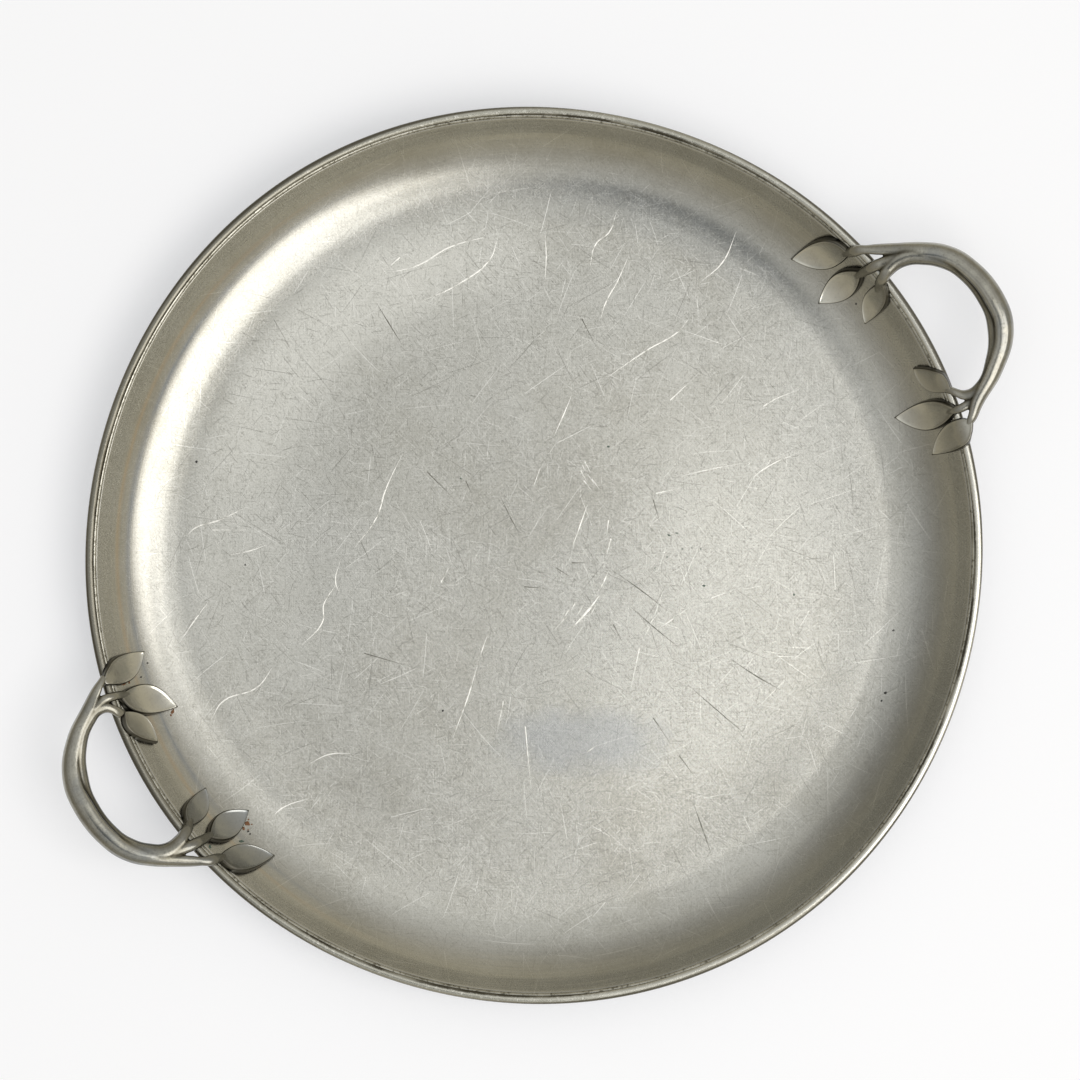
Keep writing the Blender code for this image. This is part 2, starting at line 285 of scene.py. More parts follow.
def new_finish(name, metallic=1.0):
    """A new material and the nodes that vary it."""
    material = bpy.data.materials.new(name)
    material.use_nodes = True
    finish = Finish(material.node_tree)
    finish.set("Metallic", metallic)
    return material, finish


# Rows: a brushing has its direction in degrees, length and width. A stretch of painted highlight
# or of painted shade has its azimuth and half spread in degrees, radius, half depth and strength. A
# line of painted reflection has its radius and half width.
BRUSHINGS = [(12, 0.0050, 0.00034), (58, 0.0065, 0.00030), (101, 0.0045, 0.00036), (147, 0.0060, 0.00032)]
SPUN_LINE = 0.00045
SPUN_RAGGEDNESS = 4.0
PAINTED_HIGHLIGHT_STRETCHES = [(100, 46, 0.114, 0.019, 0.90), (128, 75, 0.106, 0.024, 0.36), (-40, 80, 0.070, 0.038, 0.42)]
PAINTED_SHADE_STRETCHES = [(37, 31, 0.134, 0.012, 0.42), (-42, 36, 0.145, 0.010, 0.34), (-78, 48, 0.158, 0.015, 0.46)]
PHOTO_RIGHT = (0.866, -0.5, 0.0)
PHOTO_UP = (0.5, 0.866, 0.0)
COOL_REFLECTION_MIDDLE = (-0.019, -0.068, 0.0)
REFLECTION_HALF_LENGTH = 0.034
REFLECTION_HALF_WIDTH = 0.014
TAN_REFLECTION_LINE = (0.1535, 0.0011)
COOL_REFLECTION_LINE = (0.1497, 0.0015)
SIDE_LEAD = 0.004
dish_metal, dish_finish = new_finish("sheet pewter, satin and scratched")
tarnish = dish_finish.noise(13.0, 4.0)
cloud = dish_finish.noise(75.0, 4.0, roughness=0.65)
use = dish_finish.noise(34.0, 3.0).within(0.38, 0.62)
crackle = dish_finish.noise(1500.0, 3.0, roughness=0.75)
brushing = [dish_finish.brushed(*strokes) for strokes in BRUSHINGS]
grain = sum(brushing) / len(brushing)
light_grain = sum(brush.within(0.58, 0.74) for brush in brushing)
dark_grain = brushing[2].within(0.44, 0.30) + brushing[1].within(0.42, 0.28) + brushing[3].within(0.42, 0.28)
fine_lines = dish_finish.hairlines(0.0034, 1, 0.0029, 0.00010, 0.08) * (0.30 + use * 0.50)
fine_lines = fine_lines + dish_finish.hairlines(0.0070, 2, 0.0062, 0.00011, 0.08) * (0.50 + use * 0.50)
fine_lines = fine_lines + dish_finish.hairlines(0.0150, 3, 0.0135, 0.00013, 0.12)
fine_lines = fine_lines * (1.0 + dish_finish.stretch(55, 50, 0.116, 0.018) * 0.7)
dark_lines = dish_finish.hairlines(0.0048, 21, 0.0038, 0.00012, 0.12)
dark_lines = dark_lines + dish_finish.hairlines(0.0140, 22, 0.0115, 0.00013, 0.1)
flat_place = dish_finish.vector("MULTIPLY", dish_finish.place, (1.0, 1.0, 0.0))
outward = dish_finish.vector("NORMALIZE", flat_place)
from_axis = dish_finish.vector("LENGTH", flat_place)
on_side = from_axis.within(FLOOR_RADIUS - SIDE_LEAD, COVE_END)
round_way = dish_finish.node("ShaderNodeCombineXYZ", {}, {"Z": from_axis / SPUN_LINE})
ragged_way = dish_finish.vector("SCALE", outward, scale=SPUN_RAGGEDNESS)
spun = dish_finish.noise(1.0, 2.0, dish_finish.vector("ADD", round_way, ragged_way))
base = dish_finish.mix(tarnish.within(0.36, 0.64), (0.350, 0.342, 0.305, 1), (0.450, 0.448, 0.424, 1))
base = dish_finish.mix(cloud.within(0.36, 0.64) * 0.42, base, (0.490, 0.488, 0.470, 1))
base = dish_finish.mix((1.0 - on_side) * 0.12, base, (0.66, 0.645, 0.585, 1))
base = dish_finish.mix((spun - 0.5).within(-0.2, 0.25) * on_side * 0.6, base, (0.52, 0.505, 0.45, 1))
ragged = 0.55 + (cloud + crackle * 0.6) * 0.56
# Painted light in the dish's colour: lighter stretches stand in for highlights, darker cool ones for shade.
for stretches, colour in ((PAINTED_HIGHLIGHT_STRETCHES, (0.70, 0.69, 0.645, 1)), (PAINTED_SHADE_STRETCHES, (0.20, 0.214, 0.225, 1))):
    for *ring_part, strength in stretches:
        share = dish_finish.stretch(*ring_part) * ragged * strength
        base = dish_finish.mix(share.within(0.0, 1.0), base, colour)
off_side = 1.0 - on_side * 0.8
base = dish_finish.mix(crackle.within(0.44, 0.64) * off_side * 0.36, base, (0.62, 0.61, 0.58, 1))
base = dish_finish.mix(crackle.within(0.46, 0.32) * off_side * 0.52, base, (0.17, 0.165, 0.145, 1))
light_share = light_grain * (0.21 + use * 0.33) * off_side
base = dish_finish.mix(light_share.within(0.0, 1.0), base, (0.68, 0.675, 0.65, 1))
dark_share = dark_grain * (0.19 + use * 0.28) * off_side
base = dish_finish.mix(dark_share.within(0.0, 1.0), base, (0.19, 0.185, 0.165, 1))
base = dish_finish.mix((fine_lines * (1.0 - on_side * 0.6)).within(0.0, 0.9), base, (0.88, 0.87, 0.84, 1))
base = dish_finish.mix((dark_lines * off_side).within(0.0, 1.0), base, (0.12, 0.115, 0.10, 1))
# Painted reflection: a soft, cool, darker patch on the floor.
reflection_way = dish_finish.vector("SUBTRACT", flat_place, COOL_REFLECTION_MIDDLE)
reflection_along = dish_finish.vector("DOT_PRODUCT", reflection_way, PHOTO_RIGHT) / REFLECTION_HALF_LENGTH
reflection_aside = dish_finish.vector("DOT_PRODUCT", reflection_way, PHOTO_UP) / REFLECTION_HALF_WIDTH
cool_bloom_and_reflection = 1.15 - reflection_along * reflection_along - reflection_aside * reflection_aside + (cloud - 0.5) * 1.6
base = dish_finish.mix(cool_bloom_and_reflection.within(0.0, 1.0) * 0.42, base, (0.33, 0.35, 0.385, 1))
# Painted reflections: a warm tan line and a cool grey line on the wall's left side.
left_side = dish_finish.vector("DOT_PRODUCT", outward, PHOTO_RIGHT).within(-0.35, -0.85)
base = dish_finish.mix(from_axis.near(*TAN_REFLECTION_LINE) * left_side * spun * 0.9, base, (0.55, 0.43, 0.30, 1))
cool_reflection_share = from_axis.near(*COOL_REFLECTION_LINE) * left_side * (spun * 1.1 + cloud - 0.6).within(0.0, 0.8)
base = dish_finish.mix(cool_reflection_share, base, (0.27, 0.295, 0.33, 1))
dish_finish.set("Base Color", base)
dish_finish.set("Roughness", 0.15 + tarnish * 0.06 + cloud * 0.05 + (light_grain + dark_grain) * 0.05
                + grain * 0.06)
marks_height = grain * 3.0 * off_side + spun * on_side * 1.5
dish_finish.set("Normal", dish_finish.node("ShaderNodeBump", {}, {"Strength": 0.6, "Distance": 0.00002,
                                                                 "Height": marks_height}))

sheet = bmesh.new()
rings = list(np.linspace(0.0, FLOOR_RADIUS, FLOOR_RINGS))
rings += [FLOOR_RADIUS + BASE_TURN_RADIUS * math.sin(slope)
          for slope in np.linspace(0, BASE_TURN_ANGLE, TURN_RINGS)[1:]]
rings += [BASE_TURN_END + COVE_RADIUS * (math.sin(slope) - TURN_RUN)
          for slope in np.linspace(BASE_TURN_ANGLE, WALL_ANGLE, COVE_RINGS)[1:]]
rings += list(np.linspace(COVE_END, EDGE_RADIUS, WALL_RINGS)[1:])
profile = [sheet.verts.new((radius, 0.0, inner_face(radius)[0])) for radius in rings]
edges = [sheet.edges.new(pair) for pair in zip(profile, profile[1:])]
spin_round(sheet, profile + edges)
bmesh.ops.remove_doubles(sheet, verts=sheet.verts, dist=DOUBLES)
bmesh.ops.recalc_face_normals(sheet, faces=sheet.faces)
if next(iter(sheet.faces)).normal.z < 0:
    bmesh.ops.reverse_faces(sheet, faces=sheet.faces)
for vert in sheet.verts:
    vert.co = worn(vert.co)
bmesh.ops.solidify(sheet, geom=sheet.faces, thickness=SHEET)
tray_piece("dish_sheet", sheet, dish_metal, ["dish"])

# Rim wire: a round pewter wire bent to a ring and soldered along the edge of the sheet, which
# stiffens the rim. Handling has worn its top flatter and bright in patches. Its outer flank and the
# seam beside it are darker, and it carries a painted highlight on the side towards the lamps and
# painted shade on the side away from them.
WIRE_SIDES = 32
WIRE_WORN_FLAT = 0.66
WIRE_SHADED_SIDE = (-0.76, 0.65, 0.0)
edge_middle = inner_face(EDGE_RADIUS)[0] - SHEET / 2 * math.cos(WALL_ANGLE)
WIRE_HEIGHT = edge_middle + (JOINT_GAP + WIRE_RADIUS) * math.sin(WALL_ANGLE)

wire_metal, wire_finish = new_finish("wire pewter, worn on the crest")
wire_place = wire_finish.vector("MULTIPLY", wire_finish.place, (1.0, 1.0, 0.0))
wire_out = (wire_finish.vector("LENGTH", wire_place) - WIRE_RING) / WIRE_RADIUS
toward_wire_shade = wire_finish.vector("DOT_PRODUCT", wire_finish.vector("NORMALIZE", wire_place), WIRE_SHADED_SIDE)
wear = wire_finish.noise(900.0, 3.0, roughness=0.7)
patches = wire_finish.noise(60.0, 3.0)
wire_base = wire_finish.mix(wire_finish.noise(160.0, 3.0), (0.36, 0.35, 0.30, 1), (0.50, 0.49, 0.44, 1))
bright_patches = wear.within(0.55, 0.70) * patches.within(0.3, 0.6)
wire_base = wire_finish.mix(bright_patches, wire_base, (0.72, 0.71, 0.66, 1))
# Painted highlight on the side of the wire towards the lamps, and painted shade on the side away from them.
wire_base = wire_finish.mix(toward_wire_shade.within(-0.2, -0.9) * 0.5, wire_base, (0.78, 0.77, 0.73, 1))
wire_base = wire_finish.mix(toward_wire_shade.within(0.3, 0.8) * 0.72, wire_base, (0.135, 0.125, 0.10, 1))
ragged_out = wire_out + (wear - 0.5) * 0.5
wire_base = wire_finish.mix(ragged_out.within(0.30, 0.62) * 0.85, wire_base, (0.105, 0.098, 0.078, 1))
# Darker in broken patches along the seam, on the wire's inner side.
seam_darkening = ragged_out.within(-0.62, -0.86) * patches.within(0.30, 0.55)
wire_base = wire_finish.mix(seam_darkening * 0.9, wire_base, (0.055, 0.048, 0.034, 1))
wire_finish.set("Base Color", wire_base)
wire_finish.set("Roughness", 0.19 + wear * 0.14)


def ring_of(radius, centre_radius, centre_height, sides, flat_top=1.0, flatness=1.0, tilt=0.0):
    """A ring round the dish: its section is a circle, flattened as a whole or on top, then tilted."""
    bm = bmesh.new()
    bmesh.ops.create_circle(bm, segments=sides, radius=radius)
    upright = Matrix.Rotation(math.radians(90), 3, "X")
    bmesh.ops.rotate(bm, verts=bm.verts, cent=(0, 0, 0), matrix=upright)
    for vert in bm.verts:
        vert.co.z *= flatness * (flat_top if vert.co.z > 0 else 1.0)
    bmesh.ops.rotate(bm, verts=bm.verts, cent=(0, 0, 0), matrix=Matrix.Rotation(-tilt, 3, "Y"))
    bmesh.ops.translate(bm, verts=bm.verts, vec=(centre_radius, 0, centre_height))
    spin_round(bm, bm.verts[:] + bm.edges[:])
    for vert in bm.verts:
        vert.co = worn(vert.co)
    return bm


wire = ring_of(WIRE_RADIUS, WIRE_RING, WIRE_HEIGHT, WIRE_SIDES, flat_top=WIRE_WORN_FLAT)
tray_piece("rim_wire_ring", wire, wire_metal, ["rim_wire"])

# Rim solder: the fillet that runs round under the wire, where the solder was drawn into the joint,
# and the bead of it that fills the seam above, rubbed as bright as the sheet's edge.
FILLET_RADIUS = 0.0004
FILLET_FULLNESS = 1.6
FILLET_SIDES = 12
fillet_drop = SHEET / 2 + JOINT_GAP + FILLET_RADIUS
fillet_back = math.sqrt((WIRE_RADIUS + JOINT_GAP + FILLET_RADIUS) ** 2 - fillet_drop ** 2)
FILLET_RING = WIRE_RING - fillet_back * math.cos(WALL_ANGLE) + fillet_drop * math.sin(WALL_ANGLE)
FILLET_HEIGHT = WIRE_HEIGHT - fillet_back * math.sin(WALL_ANGLE) - fillet_drop * math.cos(WALL_ANGLE)

solder_metal, solder_finish = new_finish("solder, dull and dark")
solder_base = solder_finish.mix(solder_finish.noise(400.0), (0.20, 0.19, 0.16, 1), (0.36, 0.35, 0.31, 1))
solder_finish.set("Base Color", solder_base)
solder_finish.set("Roughness", 0.42 + solder_finish.noise(600.0) * 0.2)
fillet = ring_of(FILLET_RADIUS * FILLET_FULLNESS, FILLET_RING, FILLET_HEIGHT, FILLET_SIDES)
tray_piece("rim_solder_fillet", fillet, solder_metal, ["rim_solder"])

BEAD_SIDES = 20
BEAD_HALF_WIDTH = 0.00075
BEAD_FLATNESS = 0.55
BEAD_TILT = math.radians(35)
BEAD_BACK = 0.00182
BEAD_DROP = 0.00060
bead_metal, bead_finish = new_finish("solder, rubbed bright")
grime = bead_finish.noise(700.0, 3.0, roughness=0.7)
bead_base = bead_finish.mix(bead_finish.noise(90.0, 3.0).within(0.35, 0.65), (0.34, 0.33, 0.285, 1),
                            (0.56, 0.55, 0.50, 1))
bead_base = bead_finish.mix(grime.within(0.50, 0.36) * 0.8, bead_base, (0.10, 0.09, 0.065, 1))
bead_finish.set("Base Color", bead_base)
bead_finish.set("Roughness", 0.20 + grime * 0.14)
bead = ring_of(BEAD_HALF_WIDTH, WIRE_RING - BEAD_BACK, WIRE_HEIGHT - BEAD_DROP, BEAD_SIDES,
               flatness=BEAD_FLATNESS, tilt=BEAD_TILT)
tray_piece("rim_solder_bead", bead, bead_metal, ["rim_solder"])

# Handles: each is one pewter casting of two twigs side by side, whose crests lean towards the seam
# between them, and which part at each end into three stems with a leaf on each. Dark patina is left
# in its hollows. Its colour also carries painted light: crests lighter, partly rubbed bright and
# partly a painted highlight, painted shade on the sides facing away from up and round the leaves'
# edges and sides, leaf faces painted lighter, and a painted cool reflection on the lower leaves of
# the left handle.
RIGHT_REACH = 0.0326
LEFT_REACH = 0.0279
SPRAY_DEPTH = 0.030
SPRAY_HALF_WIDTH = 0.040
TWIG_RADIUS = 0.0029
LOOP_RISE = math.radians(4)
ROLL_START = 0.0011
ROLL_RADIUS = 0.005
LEAF_HALF_WIDTH = 0.0052
TWIG_SEAT = 0.0007
TWIG_FLATNESS = 0.80
TWIG_SQUARENESS = 2.3
TWIG_LEAN = 0.32
SECTION_SIDES = 20
SWEEP_STEPS = 10
LEAF_FOOT = 0.0004
LEAF_TOP = 0.0027
LEAF_MID = 0.00225
LEAF_HOLLOW = 0.00022
LEAF_EDGE = 0.0005
LEAF_DRAFT = 1.035
LEAF_POINT = 0.25
LEAF_SIDES = 96
LEAF_FACE_INSETS = [0.012, 0.018, 0.02, 0.02, 0.025, 0.025, 0.03, 0.15, 0.20, 0.22]
LEAF_FOOT_INSETS = [0.10, 0.30, 0.30]
LEAF_DROPS = [(0.0, LEAF_HOLLOW), (0.5, LEAF_HOLLOW * 0.8), (0.85, LEAF_HOLLOW * 0.5),
              (0.88, LEAF_HOLLOW * 0.1), (0.905, 0.0), (0.93, LEAF_EDGE * 0.05), (0.95, LEAF_EDGE * 0.2),
              (0.97, LEAF_EDGE * 0.45), (0.988, LEAF_EDGE * 0.75), (1.0, LEAF_EDGE)]
# The leaf's face and edge line are painted lighter through crest values, a painted highlight; its edge ring
# and sides are darkened through hollow values, partly patina and partly painted shade.
LEAF_PAINTED_LIGHT = [(0.0, 1.75), (0.5, 1.85), (0.85, 1.95), (0.88, 2.3), (0.905, 2.3), (0.95, 0.9)]
LEAF_DARKENED = [(0.905, 0.0), (0.93, 0.40), (0.95, 0.80), (0.97, 0.80), (1.0, 0.40)]
FOOT_DARKENED = 0.70
VOXEL = 0.00024
SKIN_ROUNDS = 5
CREST_MOST = 1.3
MIDDLE_BLEND = 0.01
STEM_PATINA_IN = (0.1520, 0.1590)
STEM_PATINA_OUT = (0.1800, 0.1690)
# Rows, in fractions: a twig's or stem's bend has its way out from the rim, its way to one side and
# its thickness. A leaf has the way out and to one side of its base and of its tip, width and bow.
OUTER_LOOP = [(-0.39, 0.98, 0.42), (-0.30, 0.955, 0.58), (-0.13, 0.90, 0.62), (0.155, 0.78, 0.80),
              (0.43, 0.645, 1.04), (0.635, 0.51, 1.12), (0.77, 0.33, 1.20), (0.862, -0.07, 1.28)]
OUTER_ENDS = {"right": [(0.785, -0.36, 1.20), (0.46, -0.64, 1.02), (0.10, -0.82, 0.80),
                        (-0.03, -0.91, 0.60), (-0.13, -0.95, 0.40)],
              "left": [(0.80, -0.36, 1.16), (0.52, -0.64, 1.00), (0.14, -0.83, 0.84),
                       (-0.08, -0.94, 0.62), (-0.25, -1.00, 0.42)]}
INNER_LOOP = [(-0.26, 0.515, 0.42), (-0.15, 0.59, 0.66), (-0.02, 0.64, 0.84), (0.195, 0.655, 0.98),
              (0.415, 0.575, 1.02), (0.575, 0.465, 1.02), (0.695, 0.30, 0.97), (0.762, -0.07, 0.92)]
INNER_ENDS = {"right": [(0.71, -0.28, 0.95), (0.485, -0.565, 0.95), (0.20, -0.715, 0.80),
                        (0.03, -0.70, 0.62), (-0.08, -0.625, 0.54), (-0.16, -0.56, 0.40)],
              "left": [(0.71, -0.28, 0.96), (0.50, -0.57, 0.97), (0.20, -0.735, 0.84),
                       (0.03, -0.765, 0.70), (-0.11, -0.72, 0.58), (-0.20, -0.62, 0.42)]}
UPPER_STEM = [(-0.39, 0.735, 0.44), (-0.29, 0.74, 0.62), (-0.10, 0.725, 0.78), (0.16, 0.69, 0.90)]
LOWER_STEM = {"right": [(-0.27, -0.755, 0.40), (-0.18, -0.775, 0.54), (0.03, -0.785, 0.62),
                        (0.28, -0.72, 0.80)],
              "left": [(-0.38, -0.755, 0.40), (-0.28, -0.785, 0.54), (-0.10, -0.82, 0.62),
                       (0.10, -0.80, 0.80)]}
LEAVES = {"right": [(-0.32, 0.94, -0.95, 1.18, 1.00, -0.12), (-0.31, 0.75, -0.93, 0.70, 0.96, 0.0),
                    (-0.16, 0.57, -0.57, 0.32, 0.77, 0.0), (-0.12, -0.60, -0.34, -0.25, 0.68, 0.05),
                    (-0.16, -0.78, -0.82, -0.56, 1.02, 0.15), (-0.04, -0.93, -0.66, -1.03, 0.96, 0.0)],
          "left": [(-0.33, 0.94, -0.90, 1.20, 0.90, -0.10), (-0.34, 0.75, -0.90, 0.72, 0.96, 0.0),
                   (-0.21, 0.57, -0.59, 0.34, 0.77, 0.0), (-0.22, -0.64, -0.37, -0.24, 0.68, 0.0),
                   (-0.27, -0.79, -0.78, -0.43, 1.02, 0.10), (-0.20, -0.94, -0.77, -1.03, 0.94, 0.0)]}
ROLL_IN = EDGE_RADIUS + ROLL_START
ROLL_OUT = ROLL_IN + ROLL_RADIUS * (math.sin(WALL_ANGLE) - math.sin(LOOP_RISE))


def seat(radius):
    """What a casting lies on: the wall, a roll over the rim wire, then a gentle rise outwards."""
    if radius <= ROLL_IN:
        return inner_face(radius)
    height = inner_face(ROLL_IN)[0]
    if radius <= ROLL_OUT:
        slope = math.asin(math.sin(WALL_ANGLE) - (radius - ROLL_IN) / ROLL_RADIUS)
        return height + arc_rise(ROLL_RADIUS, slope, WALL_ANGLE), slope
    height += arc_rise(ROLL_RADIUS, LOOP_RISE, WALL_ANGLE)
    return height + (radius - ROLL_OUT) * math.tan(LOOP_RISE), LOOP_RISE


def lay(x, y, lift):
    """Point at a lift square off the seat, true in plan at the middle of a leaf's thickness."""
    radius = math.hypot(x, y)
    foot = radius + LEAF_MID * math.sin(seat(radius)[1])
    height, slope = seat(foot)
    reach = foot - lift * math.sin(slope)
    return Vector((x * reach / radius, y * reach / radius, height + lift * math.cos(slope)))


def plan(out, side, reach):
    """Plan point of a handle from its fractions: out from the rim, and to one side of its middle."""
    return RIM_RADIUS + out * (reach if out > 0 else SPRAY_DEPTH), side * SPRAY_HALF_WIDTH


def twig_section(lean):
    """Section of the twigs: a circle pushed a little way towards a square, its crest to one side."""
    outline = bpy.data.curves.new("twig_section", "CURVE")
    outline.dimensions = "2D"
    spline = outline.splines.new("POLY")
    spline.points.add(SECTION_SIDES - 1)
    spline.use_cyclic_u = True
    for number, point in enumerate(spline.points):
        angle = 2 * math.pi * number / SECTION_SIDES
        across, up = math.cos(angle), math.sin(angle)
        push = (abs(across) ** TWIG_SQUARENESS + abs(up) ** TWIG_SQUARENESS) ** (-1 / TWIG_SQUARENESS)
        point.co = (across * push + lean * max(up, 0.0), up * push, 0, 1)
    return in_scene("twig_section", outline)


def evaluated_mesh(item):
    """The mesh that an object shows, with its sweep or modifiers worked out. The object goes."""
    mesh = bpy.data.meshes.new_from_object(item.evaluated_get(bpy.context.evaluated_depsgraph_get()))
    bpy.data.objects.remove(item)
    return mesh


def sweep(bm, path, place, **settings):
    """Adds to bm what a section sweeps along a path of points and thicknesses, each point of it
    then moved to where place() says."""
    line = bpy.data.curves.new("line", "CURVE")
    line.dimensions = "3D"
    line.resolution_u = SWEEP_STEPS
    for name, setting in settings.items():
        setattr(line, name, setting)
    spline = line.splines.new("BEZIER")
    spline.bezier_points.add(len(path) - 1)
    for bend, (point, thickness) in zip(spline.bezier_points, path):
        bend.co = point
        bend.radius = thickness
        bend.handle_left_type = "AUTO"
        bend.handle_right_type = "AUTO"
    swept = evaluated_mesh(in_scene("line", line))
    for vert in swept.vertices:
        vert.co = place(vert.co)
    bm.from_mesh(swept)
    bpy.data.meshes.remove(swept)


def add_twig(casting, bends, section, reach):
    """A twig of changing thickness, swept along its bends on the flat and then laid over the rim."""
    path = [((*plan(out, side, reach), thickness * TWIG_RADIUS), thickness * TWIG_RADIUS)
            for out, side, thickness in bends]
    sweep(casting, path, lambda point: lay(point.x, point.y, TWIG_SEAT + point.z * TWIG_FLATNESS),
          twist_mode="Z_UP", bevel_mode="OBJECT", bevel_object=section, use_fill_caps=True)


def leaf_place(leaf, along, across):
    """Plan point of a leaf from a unit disc: along runs from base to tip, across sideways."""
    base = Vector(plan(leaf[0], leaf[1], RIGHT_REACH))
    tip = Vector(plan(leaf[2], leaf[3], RIGHT_REACH))
    half_width, bow = leaf[4] * LEAF_HALF_WIDTH, leaf[5] * LEAF_HALF_WIDTH
    axis = (tip - base) / 2
    side = axis.orthogonal().normalized()
    width_here = half_width * math.sqrt(max(0.0, 1 - along ** 2)) * (1 - LEAF_POINT * along)
    return (base + tip) / 2 + axis * along + side * (across * width_here + bow * (1 - along ** 2))


def ringed_disc(sides, top_insets, bottom_insets):
    """Unit disc with rings inset into both faces and each face closed at its centre."""
    bm = bmesh.new()
    bmesh.ops.create_cone(bm, cap_ends=True, segments=sides, radius1=1.0, radius2=1.0, depth=1.0)
    by_height = sorted(bm.faces, key=lambda face: face.normal.z)
    caps = [by_height[-1], by_height[0]]
    for cap, insets in zip(caps, (top_insets, bottom_insets)):
        for width in insets:
            bmesh.ops.inset_region(bm, faces=[cap], thickness=width, use_even_offset=True)
    bmesh.ops.poke(bm, faces=caps)
    return bm


def add_leaf(casting, leaf, turn):
    """A leaf with draft on its sides, a fine raised edge line and a flat, hardly hollowed face."""
    bm = ringed_disc(LEAF_SIDES, LEAF_FACE_INSETS, LEAF_FOOT_INSETS)
    hollow = bm.verts.layers.float.new("hollow")
    crest = bm.verts.layers.float.new("crest")
    for vert in bm.verts:
        ring = vert.co.xy.length
        if vert.co.z > 0:
            lift = LEAF_TOP - between(LEAF_DROPS, ring)
            vert[crest] = between(LEAF_PAINTED_LIGHT, ring)
            vert[hollow] = between(LEAF_DARKENED, ring)
        else:
            lift = LEAF_FOOT
            vert.co.xy = vert.co.xy * LEAF_DRAFT
            vert[hollow] = FOOT_DARKENED
        vert.co = worn(lay(*leaf_place(leaf, vert.co.x, vert.co.y), lift))
        vert.co.xy = vert.co.xy * turn
    shape = bpy.data.meshes.new("leaf")
    bm.to_mesh(shape)
    bm.free()
    casting.from_mesh(shape)
    bpy.data.meshes.remove(shape)


def remeshed(bm):
    """The casting's overlapping parts run together as one skin."""
    mesh = bpy.data.meshes.new("casting")
    bm.to_mesh(mesh)
    bm.free()
    item = in_scene("casting", mesh)
    skin = item.modifiers.new("Skin", "REMESH")
    skin.mode = "VOXEL"
    skin.voxel_size = VOXEL
    whole = bmesh.new()
    whole.from_mesh(evaluated_mesh(item))
    for _ in range(SKIN_ROUNDS):
        bmesh.ops.smooth_vert(whole, verts=whole.verts, factor=0.5, use_axis_x=True, use_axis_y=True,
                              use_axis_z=True)
    return whole


def mark_hollows(skin, rounds=30, depth=0.00012):
    """Stores how far each point lies below (hollow) or above (crest) its smoothed surroundings."""
    skin.normal_update()
    points = np.array([vert.co for vert in skin.verts])
    normals = np.array([vert.normal for vert in skin.verts])
    skin.verts.index_update()
    first, second = np.array([[edge.verts[0].index, edge.verts[1].index] for edge in skin.edges]).T
    both, other = np.concatenate([first, second]), np.concatenate([second, first])
    links = np.bincount(both, minlength=len(points))[:, None]
    smooth = points.copy()
    for _ in range(rounds):
        total = np.stack([np.bincount(both, weights=smooth[other, axis], minlength=len(points))
                          for axis in range(3)], axis=1)
        smooth = total / links
    height = ((points - smooth) * normals).sum(axis=1) / depth
    for label, values, most in (("hollow", -height, 1.0), ("crest", height * CREST_MOST, CREST_MOST)):
        layer = skin.verts.layers.float.new(label)
        for vert, value in zip(skin.verts, np.clip(values, 0.0, most)):
            vert[layer] = float(value)


handle_metal, handle_finish = new_finish("cast pewter, dark in the hollows")
hollow = handle_finish.node("ShaderNodeAttribute", {"attribute_name": "hollow"}, {}, "Fac")
crest = handle_finish.node("ShaderNodeAttribute", {"attribute_name": "crest"}, {}, "Fac")
mottle = handle_finish.noise(180.0, 4.0)
pits = handle_finish.noise(1400.0, 3.0, roughness=0.7)
_, _, upward = handle_finish.split(handle_finish.node("ShaderNodeNewGeometry", {}, {}, "Normal"))
metal = handle_finish.mix(mottle.within(0.35, 0.65), (0.140, 0.131, 0.106, 1), (0.210, 0.201, 0.168, 1))
# Crests lighter: partly rubbed bright, partly a painted highlight.
metal = handle_finish.mix(crest * 0.39, metal, (0.64, 0.63, 0.58, 1))
# Cool tarnish patches at random over the casting.
cool_bloom_and_reflection = handle_finish.noise(95.0, 3.0).within(0.50, 0.68)
metal = handle_finish.mix(cool_bloom_and_reflection * 0.45, metal, (0.22, 0.235, 0.25, 1))
metal = handle_finish.mix(pits.within(0.56, 0.70) * 0.22, metal, (0.50, 0.49, 0.44, 1))
metal = handle_finish.mix(pits.within(0.44, 0.32) * 0.40, metal, (0.08, 0.075, 0.058, 1))
# Painted shade: the casting is darker where it faces away from straight up.
painted_flank_shade = (upward + (mottle - 0.5) * 0.4).within(0.56, 0.14)
metal = handle_finish.mix(painted_flank_shade * 0.55, metal, (0.085, 0.080, 0.062, 1))
along_tray, across_tray, _ = handle_finish.split(handle_finish.place)
leaf_face = (crest - 1.0).within(0.1, 0.6)
right_tray = along_tray.within(-MIDDLE_BLEND, MIDDLE_BLEND)
left_low = (1.0 - right_tray) * across_tray.within(MIDDLE_BLEND, -MIDDLE_BLEND)
left_high = (1.0 - right_tray) * across_tray.within(-MIDDLE_BLEND, MIDDLE_BLEND)
# Painted light on the leaves: their faces lighter, most on the right handle, and a painted cool reflection
# on the lower leaves of the left handle.
painted_leaf_light = leaf_face * (right_tray * (0.12 + mottle * 0.50) + left_high * 0.26)
metal = handle_finish.mix(painted_leaf_light, metal, (0.82, 0.80, 0.72, 1))
metal = handle_finish.mix(leaf_face * left_low * (0.30 + mottle * 0.6), metal, (0.23, 0.245, 0.26, 1))
in_plan = handle_finish.vector("MULTIPLY", handle_finish.place, (1.0, 1.0, 0.0))
near_rim = handle_finish.vector("LENGTH", in_plan)
stem_patina = near_rim.within(*STEM_PATINA_OUT) * near_rim.within(*STEM_PATINA_IN)
metal = handle_finish.mix(stem_patina * (0.15 + mottle * 0.5), metal, (0.10, 0.092, 0.070, 1))
